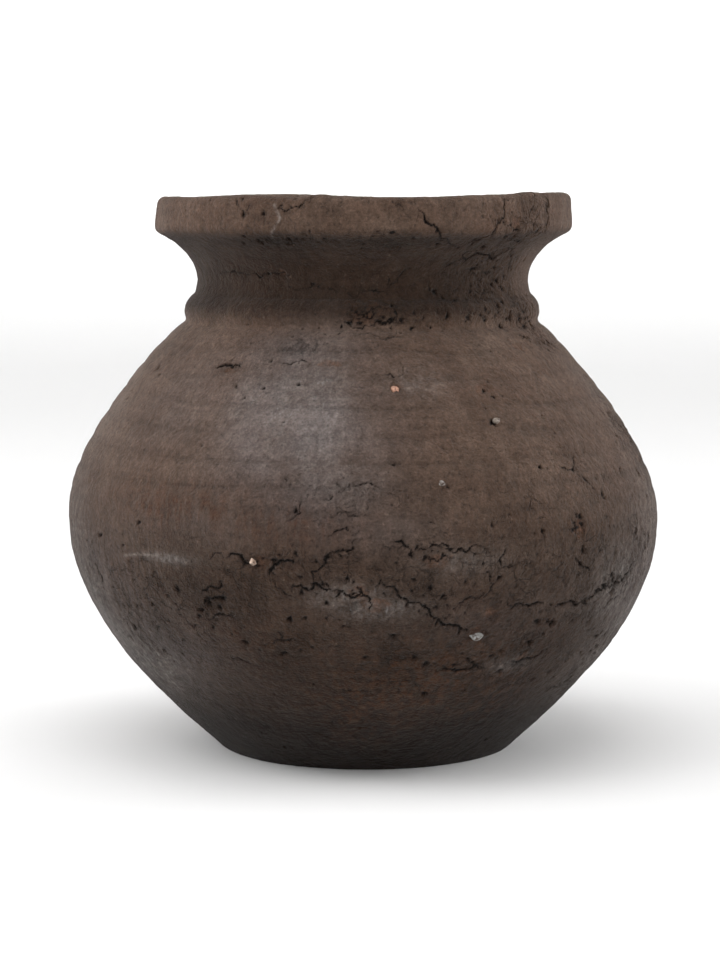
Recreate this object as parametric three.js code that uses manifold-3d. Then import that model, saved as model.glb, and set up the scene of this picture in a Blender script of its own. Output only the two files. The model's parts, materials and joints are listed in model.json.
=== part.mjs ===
// A coil-built jar of coarse, smoke-darkened earthenware: a narrow flat foot, a wide belly, a ridged
// shoulder, a short waisted neck and a thick turned-out rim. Millimetres, +Z up, with the origin at the
// centre of the foot. Each section of clay that the potter adds is a solid of its own, and so is each
// large grain of grit that shows in the wall.
import * as THREE from "three";
import { mergeVertices } from "three/addons/utils/BufferGeometryUtils.js";
import Module from "manifold-3d";

// Driving dimensions
const HEIGHT = 328;
const FOOT_RADIUS = 88;
const BELLY_RADIUS = 176;
const BELLY_HEIGHT = 141; // of the widest point
const COLLAR_FOOT = [104.5, 256]; // radius and height where the shoulder ends
const COLLAR_TOP = [99.5, 270]; // radius and height where the neck starts
const COLLAR_CREST = 109; // radius that the collar's round outer face is pulled towards
const RIM_RADIUS = 123.8;
const RIM_FOOT = 307.5; // height of the rim's lower edge
const MOUTH_RADIUS = 110; // inside the lip

const WALL = 11; // thickness of the clay, square to the outside
const FLOOR = 12; // thickness of the slab
const FLOOR_RADIUS = 80; // inside the pot, where the floor starts to curve up
const COIL_SWELL = 0.6; // how far a shoulder coil stands out between its two seams
const LIP_ROUND = 4; // rounding of the lip's edges

// Where the sections meet, as heights on the outside
const BOWL_TOP = 65; // the bowl pinched up from the slab
const SHOULDER_FOOT = 157;
const NECK_SEAM = 285;
const RIM_SEAM = 299;
const BELLY_COILS = 5;
const SHOULDER_COILS = 7;

const TURN_STEPS = 40; // facets round the pot
const COIL_STEPS = 3; // facets up the outside of one coil
const GRIT_CLEARANCE = 0.3; // round each grain in its pocket

// Large grains of grit: the section each one sits in, its angle from the front towards +X in degrees, its
// height, and its width, height and depth
const GRAINS = [
  { name: "grain_quartz", section: "belly_coil_2", angle: 22, at: 87.2, size: [10, 6, 6] },
  { name: "grain_pale", section: "belly_coil_4", angle: -20, at: 131, size: [5.5, 6, 5] },
  { name: "grain_pink", section: "shoulder_coil_5", angle: 8, at: 224, size: [6, 6.5, 5] },
  { name: "grain_grey", section: "shoulder_coil_2", angle: 15, at: 174.2, size: [5, 4.5, 4.5] },
  { name: "grain_flint", section: "shoulder_coil_4", angle: 30, at: 205, size: [4.5, 4.5, 4.5] },
];
const GRIT_SINK = 0.28; // how far a grain's middle lies under the surface, as a part of its depth

// The outside of the pot: four curves, each from low to high
const point = (radius, height) => new THREE.Vector2(radius, height);

const lowerWall = new THREE.CubicBezierCurve(
  point(FOOT_RADIUS, 0),
  point(FOOT_RADIUS + 32, 32),
  point(BELLY_RADIUS, BELLY_HEIGHT - 61),
  point(BELLY_RADIUS, BELLY_HEIGHT),
);
const shoulder = new THREE.CubicBezierCurve(
  point(BELLY_RADIUS, BELLY_HEIGHT),
  point(BELLY_RADIUS, BELLY_HEIGHT + 37),
  point(COLLAR_FOOT[0] + 24, COLLAR_FOOT[1] - 26),
  point(...COLLAR_FOOT),
);
const collar = new THREE.QuadraticBezierCurve(
  point(...COLLAR_FOOT),
  point(COLLAR_CREST, (COLLAR_FOOT[1] + COLLAR_TOP[1]) / 2),
  point(...COLLAR_TOP),
);
const neck = new THREE.CubicBezierCurve(
  point(...COLLAR_TOP),
  point(COLLAR_TOP[0] - 6, COLLAR_TOP[1] + 22),
  point(RIM_RADIUS - 12, RIM_FOOT - 5),
  point(RIM_RADIUS - 2, RIM_FOOT),
);

// The curve's parameter at a height, by halving
function parameterAt(curve, height) {
  let low = 0;
  let high = 1;
  for (let i = 0; i < 40; i++) {
    const middle = (low + high) / 2;
    if (curve.getPoint(middle).y < height) low = middle;
    else high = middle;
  }
  return (low + high) / 2;
}

// The point at a height on the outside of the pot, moved outward by a distance square to the wall
function onWall(height, outward = 0) {
  const curve = height < BELLY_HEIGHT ? lowerWall : height <= COLLAR_FOOT[1] ? shoulder : neck;
  const t = parameterAt(curve, height);
  const along = curve.getTangent(t);
  return curve.getPoint(t).add(point(along.y, -along.x).multiplyScalar(outward));
}

const evenly = (low, high, steps) =>
  Array.from({ length: steps + 1 }, (_, i) => low + ((high - low) * i) / steps);

const insideWall = (heights) => heights.map((height) => onWall(height, -WALL)).reverse();

// The closed profile of one coil: plain inside, and outside plain or swelling between its seams
function coilProfile(low, high, swell = 0) {
  const outside = evenly(0, 1, COIL_STEPS).map((part) =>
    onWall(low + (high - low) * part, swell * Math.sin(Math.PI * part)),
  );
  return [...outside, ...insideWall(evenly(low, high, COIL_STEPS - 1))];
}

// The slab the pot stands on
function slabProfile() {
  const edge = [point(FOOT_RADIUS, 0), onWall(FLOOR / 2), onWall(FLOOR)];
  return [point(0, 0), ...edge, point(FLOOR_RADIUS, FLOOR), point(0, FLOOR)];
}

// The bowl pinched up on the slab's edge, with a round corner inside where it meets the floor
function bowlProfile() {
  const cornerTop = onWall(FLOOR * 1.5, -WALL);
  const corner = new THREE.QuadraticBezierCurve(
    cornerTop,
    point(FLOOR_RADIUS + WALL / 2, FLOOR),
    point(FLOOR_RADIUS, FLOOR),
  );
  return [
    ...evenly(FLOOR, BOWL_TOP, 6).map((height) => onWall(height)),
    ...insideWall(evenly(FLOOR * 2, BOWL_TOP, 4)),
    ...corner.getPoints(3),
  ];
}

// The ring of clay that covers the joint of shoulder and neck
function collarProfile() {
  const inside = [onWall(COLLAR_TOP[1] + 1e-6, -WALL), onWall(COLLAR_FOOT[1], -WALL)];
  return [...collar.getPoints(5), ...inside];
}

// The rim: the end of the neck's flare, an upright band, a rounded lip, and the funnel of the mouth
function rimProfile() {
  const flare = evenly(RIM_SEAM, RIM_FOOT, 4).map((height) => onWall(height));
  const band = new THREE.Path();
  band.moveTo(RIM_RADIUS - 2, RIM_FOOT);
  band.quadraticCurveTo(RIM_RADIUS, RIM_FOOT, RIM_RADIUS, RIM_FOOT + LIP_ROUND);
  band.lineTo(RIM_RADIUS - 1, HEIGHT - LIP_ROUND);
  band.quadraticCurveTo(RIM_RADIUS - 1, HEIGHT, RIM_RADIUS - 1 - LIP_ROUND, HEIGHT);
  band.lineTo(MOUTH_RADIUS + LIP_ROUND, HEIGHT);
  band.quadraticCurveTo(MOUTH_RADIUS, HEIGHT, MOUTH_RADIUS - 1, HEIGHT - LIP_ROUND);
  const throat = onWall(RIM_SEAM, -WALL);
  band.quadraticCurveTo(MOUTH_RADIUS - LIP_ROUND, RIM_FOOT + LIP_ROUND, throat.x, throat.y);
  return [...flare, ...band.getPoints(3).slice(1)];
}

// A solid of revolution from a closed profile, or from one that starts and ends on the axis
function turned(profile) {
  const onAxis = profile[0].x === 0;
  const outline = onAxis ? profile : [...profile, profile[0]];
  return new THREE.LatheGeometry(outline, TURN_STEPS).rotateX(Math.PI / 2);
}

// A rough grain, grown by a clearance, with its middle a little under the surface of the wall
function grainGeometry({ angle, at, size }, clearance) {
  const [width, height, depth] = size.map((side) => side / 2 + clearance);
  const outside = onWall(at, -GRIT_SINK * size[2]);
  return new THREE.IcosahedronGeometry(1, 0)
    .scale(width, depth, height)
    .translate(0, -outside.x, outside.y)
    .rotateZ(THREE.MathUtils.degToRad(angle));
}

const wasm = await Module();
wasm.setup();

function toSolid(geometry) {
  const bare = geometry.index ? geometry.toNonIndexed() : geometry.clone();
  bare.deleteAttribute("normal");
  bare.deleteAttribute("uv");
  const merged = mergeVertices(bare, 1e-3);
  return new wasm.Manifold(
    new wasm.Mesh({
      numProp: 3,
      vertProperties: merged.attributes.position.array,
      triVerts: new Uint32Array(merged.index.array),
    }),
  );
}

function toGeometry(solid) {
  const { vertProperties, triVerts } = solid.getMesh();
  const geometry = new THREE.BufferGeometry()
    .setAttribute("position", new THREE.BufferAttribute(vertProperties, 3))
    .setIndex(new THREE.BufferAttribute(triVerts, 1));
  geometry.computeVertexNormals();
  return geometry;
}

// Cuts the pockets of a section's grains out of it
function withPockets(section, geometry) {
  const grains = GRAINS.filter((grain) => grain.section === section);
  if (!grains.length) return geometry;
  const pockets = grains.map((grain) => toSolid(grainGeometry(grain, GRIT_CLEARANCE)));
  return toGeometry(pockets.reduce((solid, pocket) => solid.subtract(pocket), toSolid(geometry)));
}

const matte = (color, roughness) => new THREE.MeshStandardMaterial({ color, roughness, metalness: 0 });
const sootyClay = matte(0x3f332b, 0.92);
const darkClay = matte(0x5c4b40, 0.85);
const grit = matte(0xb3a394, 0.7);

// The sections of clay from the foot to the rim
function coilRun(name, low, high, count, swell) {
  const seams = evenly(low, high, count);
  return evenly(1, count, count - 1).map((number) => ({
    name: `${name}_${number}`,
    profile: coilProfile(seams[number - 1], seams[number], swell),
    material: darkClay,
  }));
}

const sections = [
  { name: "base_slab", profile: slabProfile(), material: sootyClay },
  { name: "lower_bowl", profile: bowlProfile(), material: sootyClay },
  ...coilRun("belly_coil", BOWL_TOP, SHOULDER_FOOT, BELLY_COILS, 0),
  ...coilRun("shoulder_coil", SHOULDER_FOOT, COLLAR_FOOT[1], SHOULDER_COILS, COIL_SWELL),
  { name: "neck_collar", profile: collarProfile(), material: darkClay },
  { name: "neck_coil_1", profile: coilProfile(COLLAR_TOP[1] + 1e-6, NECK_SEAM), material: darkClay },
  { name: "neck_coil_2", profile: coilProfile(NECK_SEAM, RIM_SEAM), material: darkClay },
  { name: "rim_coil", profile: rimProfile(), material: darkClay },
];

const pot = new THREE.Group();

function addPiece(name, geometry, material) {
  const piece = new THREE.Mesh(geometry, material);
  piece.name = name;
  pot.add(piece);
}

for (const { name, profile, material } of sections)
  addPiece(name, withPockets(name, turned(profile)), material);
for (const grain of GRAINS) addPiece(grain.name, grainGeometry(grain, 0), grit);

export default pot;
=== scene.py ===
"""A coil-built jar of coarse dark clay: the looks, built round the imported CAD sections.

The skin of the whole pot is worked out once, as three grids of points (outside, inside, underside) in
millimetres, from the outline of the CAD sections. Seams, cracks, pits, chips and scrape marks are pressed
into it. Each CAD section is then replaced by its own closed piece, cut from those grids at its seams.
"""

import json
import math

import bpy
import numpy as np
from mathutils.bvhtree import BVHTree
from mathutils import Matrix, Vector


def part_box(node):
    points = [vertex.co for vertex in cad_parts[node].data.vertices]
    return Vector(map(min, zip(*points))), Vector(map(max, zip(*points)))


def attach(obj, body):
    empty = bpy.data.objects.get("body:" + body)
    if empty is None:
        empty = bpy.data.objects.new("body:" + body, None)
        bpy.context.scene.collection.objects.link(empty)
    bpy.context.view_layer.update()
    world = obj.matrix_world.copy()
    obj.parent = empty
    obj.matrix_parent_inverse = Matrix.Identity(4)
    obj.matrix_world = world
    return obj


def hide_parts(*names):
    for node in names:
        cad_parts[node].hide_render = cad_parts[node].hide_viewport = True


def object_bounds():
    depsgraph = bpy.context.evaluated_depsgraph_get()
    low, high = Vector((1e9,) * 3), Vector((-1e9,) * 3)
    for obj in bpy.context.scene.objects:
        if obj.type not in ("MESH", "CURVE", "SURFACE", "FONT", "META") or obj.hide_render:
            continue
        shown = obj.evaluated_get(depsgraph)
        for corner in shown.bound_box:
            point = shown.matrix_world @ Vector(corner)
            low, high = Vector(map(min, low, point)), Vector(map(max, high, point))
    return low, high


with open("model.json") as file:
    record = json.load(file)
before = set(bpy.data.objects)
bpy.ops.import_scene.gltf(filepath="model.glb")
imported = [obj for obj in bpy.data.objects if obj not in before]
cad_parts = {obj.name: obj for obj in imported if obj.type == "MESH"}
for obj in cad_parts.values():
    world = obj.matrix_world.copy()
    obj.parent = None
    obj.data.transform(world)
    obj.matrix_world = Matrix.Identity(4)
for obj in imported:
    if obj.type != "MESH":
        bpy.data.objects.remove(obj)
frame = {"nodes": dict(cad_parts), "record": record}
cad_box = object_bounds()
cad_nodes = frame["nodes"]

MM = 0.001
SEED = 7
COARSE = 1  # trial renders use a grid twice as open

# The grids: columns round the pot and distance between rows, in millimetres
FINE_COLUMNS = 1536 // COARSE
OPEN_COLUMNS = 384
FINE_ROW = 0.8 * COARSE
OPEN_ROW = 3.0
OUTLINE_STEP = 0.25
OUTLINE_SOFTENING = 1.3  # rounds off the corners that the CAD facets leave

CAD_SWELL = 0.6  # how far the CAD shoulder coils stand out between their seams
RIDGE = 0.85  # how far the real ones do, where they aren't wiped flat
RIDGE_SINK = 0.35  # how far the grooves between them sink
RIDGE_WANDER = 2.2  # how far they stray up and down
RIDGE_GROOVE_SHADE = 0.24  # painted shade in the grooves


# ---------------------------------------------------------------- the CAD outline

def middle_height(name):
    """Twice the height of a node's middle, for sorting from the foot up."""
    low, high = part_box(name)
    return low.z + high.z


GRAINS = sorted(name for name in cad_nodes if name.startswith("grain_"))
SECTIONS = sorted((name for name in cad_nodes if name not in GRAINS), key=middle_height)
HEIGHT = cad_box[1].z / MM
SAME_CORNER = 0.05  # corners nearer than this are one


def cad_surface():
    """All CAD sections as one tree for casting rays, in millimetres."""
    points, faces = [], []
    for name in SECTIONS:
        mesh = cad_nodes[name].data
        first = len(points)
        points += [vertex.co / MM for vertex in mesh.vertices]
        faces += [[first + i for i in face.vertices] for face in mesh.polygons]
    return BVHTree.FromPolygons(points, faces)


def profile_points(name):
    """The corners of a section's profile, as (radius, height) in millimetres."""
    points = np.array([vertex.co for vertex in cad_nodes[name].data.vertices]) / MM
    return np.stack([np.hypot(points[:, 0], points[:, 1]), points[:, 2]], axis=1)


def seam_between(lower, upper):
    """The outer and the inner corner that two neighbouring sections share."""
    a, b = profile_points(lower), profile_points(upper)
    near = np.hypot(*(a[:, None] - b[None]).transpose(2, 0, 1)).min(axis=1) < SAME_CORNER
    shared = a[near]
    return shared[shared[:, 0].argmax()], shared[shared[:, 0].argmin()]


def cad_outline():
    """The pot's outline from the foot's edge, up the outside, over the lip and down the inside to the
    middle of the floor, evenly stepped and softened; and how far along it each point lies."""
    surface = cad_surface()
    beside_axis = 0.02  # rays run just beside the axis and between the corners, to hit no edge
    clear = 0.003
    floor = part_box(SECTIONS[0])[1].z / MM
    heights = np.arange(OUTLINE_STEP, HEIGHT - OUTLINE_STEP / 2, OUTLINE_STEP) + clear

    def radius(height, start, direction):
        return surface.ray_cast((start, beside_axis, height), (direction, 0, 0))[0].x

    outside = [(radius(z, 2 * HEIGHT, -1), z) for z in heights]
    inside = [(radius(z, 0, 1), z) for z in heights[heights > floor][::-1]]
    foot = (outside[0][0], 0.0)
    top = [(outside[-1][0], HEIGHT), (inside[0][0], HEIGHT)]
    line = np.array([foot, *outside, *top, *inside, (inside[-1][0], floor), (0.0, floor)])
    along = np.r_[0, np.cumsum(np.hypot(*np.diff(line, axis=0).T))]
    even = np.arange(0, along[-1], OUTLINE_STEP)
    line = np.stack([np.interp(even, along, line[:, 0]), np.interp(even, along, line[:, 1])], axis=1)
    reach = int(4 * OUTLINE_SOFTENING / OUTLINE_STEP)
    kernel = np.exp(-0.5 * (np.arange(-reach, reach + 1) * OUTLINE_STEP / OUTLINE_SOFTENING) ** 2)
    kernel /= kernel.sum()
    padded = np.pad(line, ((reach, reach), (0, 0)), mode="reflect", reflect_type="odd")
    soft = np.stack([np.convolve(padded[:, axis], kernel, "valid") for axis in (0, 1)], axis=1)
    return even, soft


ALONG, OUTLINE = cad_outline()
LIP = ALONG[OUTLINE[:, 1].argmax()]
SEAMS = [seam_between(lower, upper) for lower, upper in zip(SECTIONS, SECTIONS[1:])]


def along_at(corner, inside=False):
    """How far along the outline a profile corner lies."""
    part = ALONG > LIP if inside else ALONG <= LIP
    distance = np.hypot(*(OUTLINE[part] - corner).T)
    return ALONG[part][distance.argmin()]


OUTER_SEAMS = [along_at(outer) for outer, _ in SEAMS]
INNER_SEAMS = [along_at(inner, inside=True) for _, inner in SEAMS]
SEAM_HEIGHTS = [outer[1] for outer, _ in SEAMS]
SHOULDER = [name for name in SECTIONS if name.startswith("shoulder_")]
SHOULDER_SEAMS = SEAM_HEIGHTS[SECTIONS.index(SHOULDER[0]) - 1:SECTIONS.index(SHOULDER[-1]) + 1]
COLLAR_FOOT, COLLAR_TOP = SEAM_HEIGHTS[SECTIONS.index("neck_collar") - 1:][:2]
THROAT = INNER_SEAMS[-1]


def rows_between(stops, step):
    """Distances along the outline with a row on every stop, and the row number of each stop."""
    rows, places = [stops[0]], [0]
    for start, end in zip(stops, stops[1:]):
        count = max(2, math.ceil((end - start) / step))
        rows += list(np.linspace(start, end, count + 1)[1:])
        places.append(len(rows) - 1)
    return np.array(rows), places


# ---------------------------------------------------------------- noise

DIRECTIONS = np.random.default_rng(SEED).normal(size=(4096, 3)).astype(np.float32)
DIRECTIONS /= np.linalg.norm(DIRECTIONS, axis=1, keepdims=True)


def noise(points, size, seed):
    """Smooth noise, about -1 to 1, with features about size across (one number, or one for each axis)."""
    spots = points / np.asarray(size, np.float32) + np.float32(seed * 13.37)
    cells = np.floor(spots).astype(np.int64)
    part = (spots - cells).astype(np.float32)
    fade = part ** 3 * (part * (part * 6 - 15) + 10)
    total = np.zeros(points.shape[:-1], np.float32)
    for corner in np.ndindex(2, 2, 2):
        x, y, z = (cells[..., axis] + corner[axis] for axis in range(3))
        away = part - np.array(corner, np.float32)
        share = np.ones_like(total)
        for axis in range(3):
            share *= fade[..., axis] if corner[axis] else 1 - fade[..., axis]
        pull = DIRECTIONS[(x * 73856093 ^ y * 19349663 ^ z * 83492791) % len(DIRECTIONS)]
        total += share * (pull * away).sum(axis=-1)
    return total * 1.6


def layered(points, size, seed, layers):
    """Noise with finer and weaker layers added."""
    size = np.asarray(size, np.float32)
    return sum(noise(points, size / 2 ** i, seed + i) / 2 ** i for i in range(layers))


def relief(points, layers):
    """Noise summed from layers, each given as its height and size in millimetres and its seed."""
    return sum(height * noise(points, size, seed) for height, size, seed in layers)


def smooth(low, high, value):
    """0 below low, 1 above high, and a soft step between."""
    part = np.clip((value - low) / (high - low), 0, 1)
    return part * part * (3 - 2 * part)


# ---------------------------------------------------------------- grids of surface points

# Marks the mesh carries. The crack mark is painted shade in cracks and pits; the soot mark is painted
# shade (darker towards the foot, in a band under the rim, in the ridge grooves), darkening inside and
# underneath, and clouds of soot; the bloom mark is painted sheen; the dust mark is dust, with painted
# sheen at the sides.
MARKS = ("crack_shade", "chip", "painted_sheen", "dust_and_sheen", "rust", "soot_and_shade", "rough", "scratch")


class Grid:
    """A sheet of points: rows along the outline, columns round the pot. Angles run from the front (-Y)
    towards +X."""

    def __init__(self, rows, columns, radius, height, lean):
        self.rows = rows
        self.angle = np.arange(columns) * (2 * math.pi / columns)
        self.radius = radius
        self.height = height
        self.lean = lean  # outward direction of each row, as (radial, upward)
        self.push = np.zeros((len(rows), columns), np.float32)
        self.marks = {name: np.zeros_like(self.push) for name in MARKS}
        self.base = self.place(self.radius[:, None], self.height[:, None])

    def place(self, radius, height):
        around = np.broadcast_to(self.angle, self.push.shape)
        spots = (np.sin(around) * radius, -np.cos(around) * radius, height + 0 * around)
        return np.stack(spots, axis=-1).astype(np.float32)

    def wrapped(self, size=150.0):
        """Coordinates in which streaks run exactly up the wall or round it."""
        return np.stack([
            np.broadcast_to(size * np.sin(self.angle), self.push.shape),
            np.broadcast_to(-size * np.cos(self.angle), self.push.shape),
            np.broadcast_to(self.rows[:, None], self.push.shape),
        ], axis=-1).astype(np.float32)

    def finish(self):
        """The final points and normals."""
        radius = self.radius[:, None] + self.push * self.lean[:, :1]
        height = self.height[:, None] + self.push * self.lean[:, 1:]
        self.points = warped(self.place(radius, height), self.angle)
        self.points[..., 2] = np.maximum(self.points[..., 2], 0)
        around = np.roll(self.points, -1, axis=1) - np.roll(self.points, 1, axis=1)
        normals = np.cross(around, np.gradient(self.points, axis=0))
        self.normals = normals / np.maximum(np.linalg.norm(normals, axis=-1, keepdims=True), 1e-9)


def outline_grid(rows, columns):
    """A grid that follows the pot's outline at the given distances along it."""
    ahead, behind = rows + OUTLINE_STEP, rows - OUTLINE_STEP
    radius, height = (np.interp(rows, ALONG, OUTLINE[:, axis]) for axis in (0, 1))
    run = [np.interp(ahead, ALONG, OUTLINE[:, axis]) - np.interp(behind, ALONG, OUTLINE[:, axis])
           for axis in (0, 1)]
    lean = np.stack([run[1], -run[0]], axis=1)
    return Grid(rows, columns, radius, height, lean / np.linalg.norm(lean, axis=1, keepdims=True))


OUTER_ROWS, OUTER_PLACES = rows_between([0, *OUTER_SEAMS, LIP, THROAT], FINE_ROW)
INNER_ROWS, INNER_PLACES = rows_between([*INNER_SEAMS[::-1], ALONG[-1] - OPEN_ROW], OPEN_ROW)
outer = outline_grid(OUTER_ROWS, FINE_COLUMNS)
inner = outline_grid(INNER_ROWS, OPEN_COLUMNS)

FOOT_RADIUS = OUTLINE[0, 0]
UNDER_ROWS = np.linspace(-FOOT_RADIUS + OPEN_ROW, -OPEN_ROW, 28)
under = Grid(
    UNDER_ROWS, OPEN_COLUMNS, FOOT_RADIUS + UNDER_ROWS, np.zeros(len(UNDER_ROWS)),
    np.tile([0.0, 1.0], (len(UNDER_ROWS), 1)),
)


# ---------------------------------------------------------------- the pot's uneven shape

# How far the middle of the pot strays to the side at each height, in millimetres
SWAY_HEIGHTS = (0, 20, 60, 110, 170, 240, 280, 300, 328)
SWAY = (1.6, 0.8, 1.2, 0.4, -0.7, -1.3, 0.0, 0.0, 0.9)

# The wave by which it strays to the back and front: reach, length, start and offset
WAVE, WAVE_LENGTH, WAVE_START, WAVE_OFFSET = 1.2, 70, 1.0, -1.0

# Places where the rim stands higher: angle, half width in degrees, and rise in millimetres
RIM_RISES = (
    (68, 30, 2.6), (52, 4, 1.0), (120, 30, 1.2), (-12, 3.5, 1.3), (-31, 3, 0.5), (-150, 25, 1.0),
    (168, 14, -1.0),
)
RIM_HEIGHT = 26  # how far below the lip these rises reach


def angle_gap(angles, middle):
    """Degrees from a middle angle, over the shorter way round."""
    return (np.degrees(angles) - middle + 180) % 360 - 180


def warped(points, angles):
    """Points moved as the real pot leans, and its rim rises and dips."""
    heights = points[..., 2]
    points = points.copy()
    points[..., 0] += np.interp(heights, SWAY_HEIGHTS, SWAY)
    points[..., 1] += WAVE * np.sin(heights / WAVE_LENGTH + WAVE_START) + WAVE_OFFSET
    rise = sum(lift * np.exp(-(angle_gap(angles, at) / width) ** 2) for at, width, lift in RIM_RISES)
    points[..., 2] += smooth(HEIGHT - RIM_HEIGHT, HEIGHT - 2, heights) * rise
    return points


# How much fuller the real wall is than the CAD outline at each height, in millimetres
FULLER_HEIGHTS = (0, 25, 60, 90, 130, 165, 205, 245, 256, 262, 269, 278)
FULLER = (0.4, 1.5, 1.7, 1.3, 0.4, 0.8, 1.3, 0.8, 0.2, 0.2, 1.5, 0.2)

# Layers of relief; a size of three numbers is stretched up the wall or round it
BROAD_LUMPS = ((0.9, 95, 1), (0.45, 42, 2))  # the same on the inside as on the outside
SMALL_LUMPS = ((0.2, 17, 3),)
SCRAPES_UP = ((1.0, (5, 5, 70), 41), (0.6, (2.6, 2.6, 40), 42))
WIPES = ((1.0, (3, 3, 45), 44), (1.0, (60, 60, 2.5), 45))
TURNED_LINES = ((0.07, (70, 70, 2.2), 46),)
GRITTY = ((0.12, 7, 49), (0.09, 3.4, 50), (0.07, 2.0, 51))
FINGER_STROKES = ((0.7, (60, 60, 14), 71), (0.3, (20, 20, 9), 72))
UNDERSIDE = ((0.5, 40, 73),)


def uneven(grid):
    """Lumps and hollows left by hands."""
    if grid is outer:
        grid.push += np.interp(grid.height, FULLER_HEIGHTS, FULLER)[:, None] * (grid.rows < LIP)[:, None]
    grid.push += relief(grid.base, BROAD_LUMPS + SMALL_LUMPS)


def coil_ridges(grid):
    """Swaps the even CAD swell of the shoulder coils for ridges that wander and fade."""
    seams = np.array(SHOULDER_SEAMS)
    pitch = (seams[-1] - seams[0]) / (len(seams) - 1)
    inside = (grid.height > seams[0]) & (grid.height < seams[-1])

    def swell(height):
        return np.abs(np.sin(math.pi * (height - seams[0]) / pitch))

    height = grid.height[:, None]
    wander = RIDGE_WANDER * noise(grid.wrapped(), (90, 90, 60), 11)
    strength = 0.75 + 0.6 * noise(grid.wrapped(), (70, 70, 25), 12)
    fade = smooth(seams[0] - 16, seams[0] + 12, height) * (1 - smooth(seams[-1] - 12, seams[-1], height))
    strength = np.clip(strength, 0, 1.4) * fade
    grid.push += strength * (RIDGE * swell(height + wander) ** 0.85 - RIDGE_SINK)
    grid.push -= CAD_SWELL * (swell(height) * inside[:, None])
    # painted shade in the grooves between the ridges
    grid.marks["soot_and_shade"] += RIDGE_GROOVE_SHADE * strength * (1 - swell(height + wander)) ** 2


# ---------------------------------------------------------------- where the clay is rough, tinted, and painted with shade and sheen

# Patches of the outside: angle and height of the middle, half width in degrees, half height, strength
ROUGH = (
    (44, 283, 16, 16, 1.0), (2, 262, 14, 7, 1.0), (58, 262, 14, 8, 0.9), (5, 304, 26, 5, 0.9),
    (-18, 305, 14, 5, 0.6), (48, 312, 12, 12, 0.7), (28, 78, 26, 22, 0.9), (48, 120, 24, 40, 0.9),
    (-28, 112, 16, 16, 0.9), (-52, 100, 18, 34, 0.7), (2, 125, 22, 20, 0.8), (16, 138, 14, 14, 0.7),
    (-18, 246, 20, 7, 0.5), (-36, 232, 8, 5, 0.7), (80, 190, 10, 26, 0.8), (-2, 168, 16, 12, 0.5),
    (66, 247, 10, 12, 0.6), (-70, 236, 10, 8, 0.5), (72, 60, 24, 20, 0.6), (-14, 86, 12, 12, 0.5),
)
# painted sheen: a grey-blue reflection of the lamps, and the lighter sides
PAINTED_SHEEN_PATCHES = (
    (-14, 205, 17, 42, 1.0), (-8, 170, 13, 26, 0.8), (-30, 150, 20, 16, 0.25), (-40, 215, 22, 30, 0.3),
    (2, 150, 12, 14, 0.45), (-42, 75, 15, 26, 0.65), (-58, 110, 12, 24, 0.5), (18, 95, 20, 16, 0.25),
    (-16, 240, 18, 12, 0.7), (-70, 80, 12, 36, 0.8), (72, 100, 11, 34, 0.6),
)
# dust; the patches near the sides also paint the paler sheen there
DUST_AND_SHEEN = (
    (-17, 214, 5, 26, 0.5), (-9, 208, 6, 34, 0.5), (-26, 218, 5, 16, 0.4), (-4, 176, 8, 14, 0.3),
    (2, 108, 7, 6, 0.8), (-3, 114, 7, 7, 0.6), (58, 108, 9, 24, 0.6), (70, 84, 12, 20, 0.5),
    (-70, 100, 12, 34, 0.5), (-56, 62, 12, 18, 0.6), (-38, 130, 6, 3, 0.8), (14, 225, 9, 9, 0.3),
    (18, 132, 8, 8, 0.4), (32, 70, 6, 5, 0.5), (72, 142, 13, 34, 0.35), (-75, 128, 12, 38, 0.45),
    (-64, 66, 15, 28, 0.55), (66, 62, 12, 22, 0.4), (74, 215, 8, 20, 0.2), (-76, 200, 8, 24, 0.2),
)
RUST = (
    (-36, 158, 18, 12, 1.0), (-14, 152, 12, 12, 0.8), (14, 66, 22, 26, 0.8), (0, 48, 10, 22, 0.8),
    (30, 50, 12, 16, 0.5), (-52, 120, 10, 20, 0.3), (30, 222, 7, 9, 0.5), (44, 146, 6, 8, 0.7),
    (0, 264, 7, 6, 0.6), (38, 312, 12, 8, 0.3), (24, 150, 12, 16, 0.25), (-20, 90, 12, 10, 0.35),
)

# How dark the clay is painted at each height of the wall: painted shade, darker towards the foot and
# darkest where the contact shadow falls
SHADE_HEIGHTS = (0, 30, 60, 105, 130, 150, 175, 205, 240)
SHADE_BY_HEIGHT = (1.25, 1.2, 0.9, 0.7, 0.58, 0.46, 0.3, 0.16, 0.08)
# painted shade in a band on the neck, under the rim's overhang
NECK_SHADE = 0.85
INSIDE_DARKENING = 0.5  # darkening added inside, more than outside
# darkening added on the underside
UNDER_DARKENING = 0.9
SOOT_CLOUDS = 0.2
NECK_FOOT, NECK_TOP = (254, 266), (312, 304)  # heights between which the painted shade on the neck sets in and ends
LESS_SHADED_NECK = (74, 22)  # angle and half width of the part of the neck that gets less painted shade
WORN_BELOW, WORN_ABOVE = (160, 120), (296, 304)  # where wear on the foot and the rim sets in
BACK_FROM, BACK_TO = 85, 275  # the part of the outside that gets patches drawn by chance


def patches(grid, listed, chance, seed):
    """The strength of a kind of patch over the grid: the listed ones, and more of them round the back."""
    draw = np.random.default_rng(seed)
    heights = [patch[1] for patch in listed]
    sizes = np.array([patch[2:] for patch in listed])
    drawn = []
    for _ in range(chance):
        angle = draw.uniform(BACK_FROM, BACK_TO)
        height = draw.choice(heights) + draw.normal(0, 9)
        drawn.append((angle, height, *sizes[draw.integers(len(sizes))]))
    total = np.zeros_like(grid.push)
    for angle, height, wide, tall, strength in [*listed, *drawn]:
        across = (angle_gap(grid.angle, angle) / wide)[None, :]
        up = ((grid.height - height) / tall)[:, None]
        total = np.maximum(total, strength * np.exp(-(across ** 2 + up ** 2)))
    return total


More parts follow.
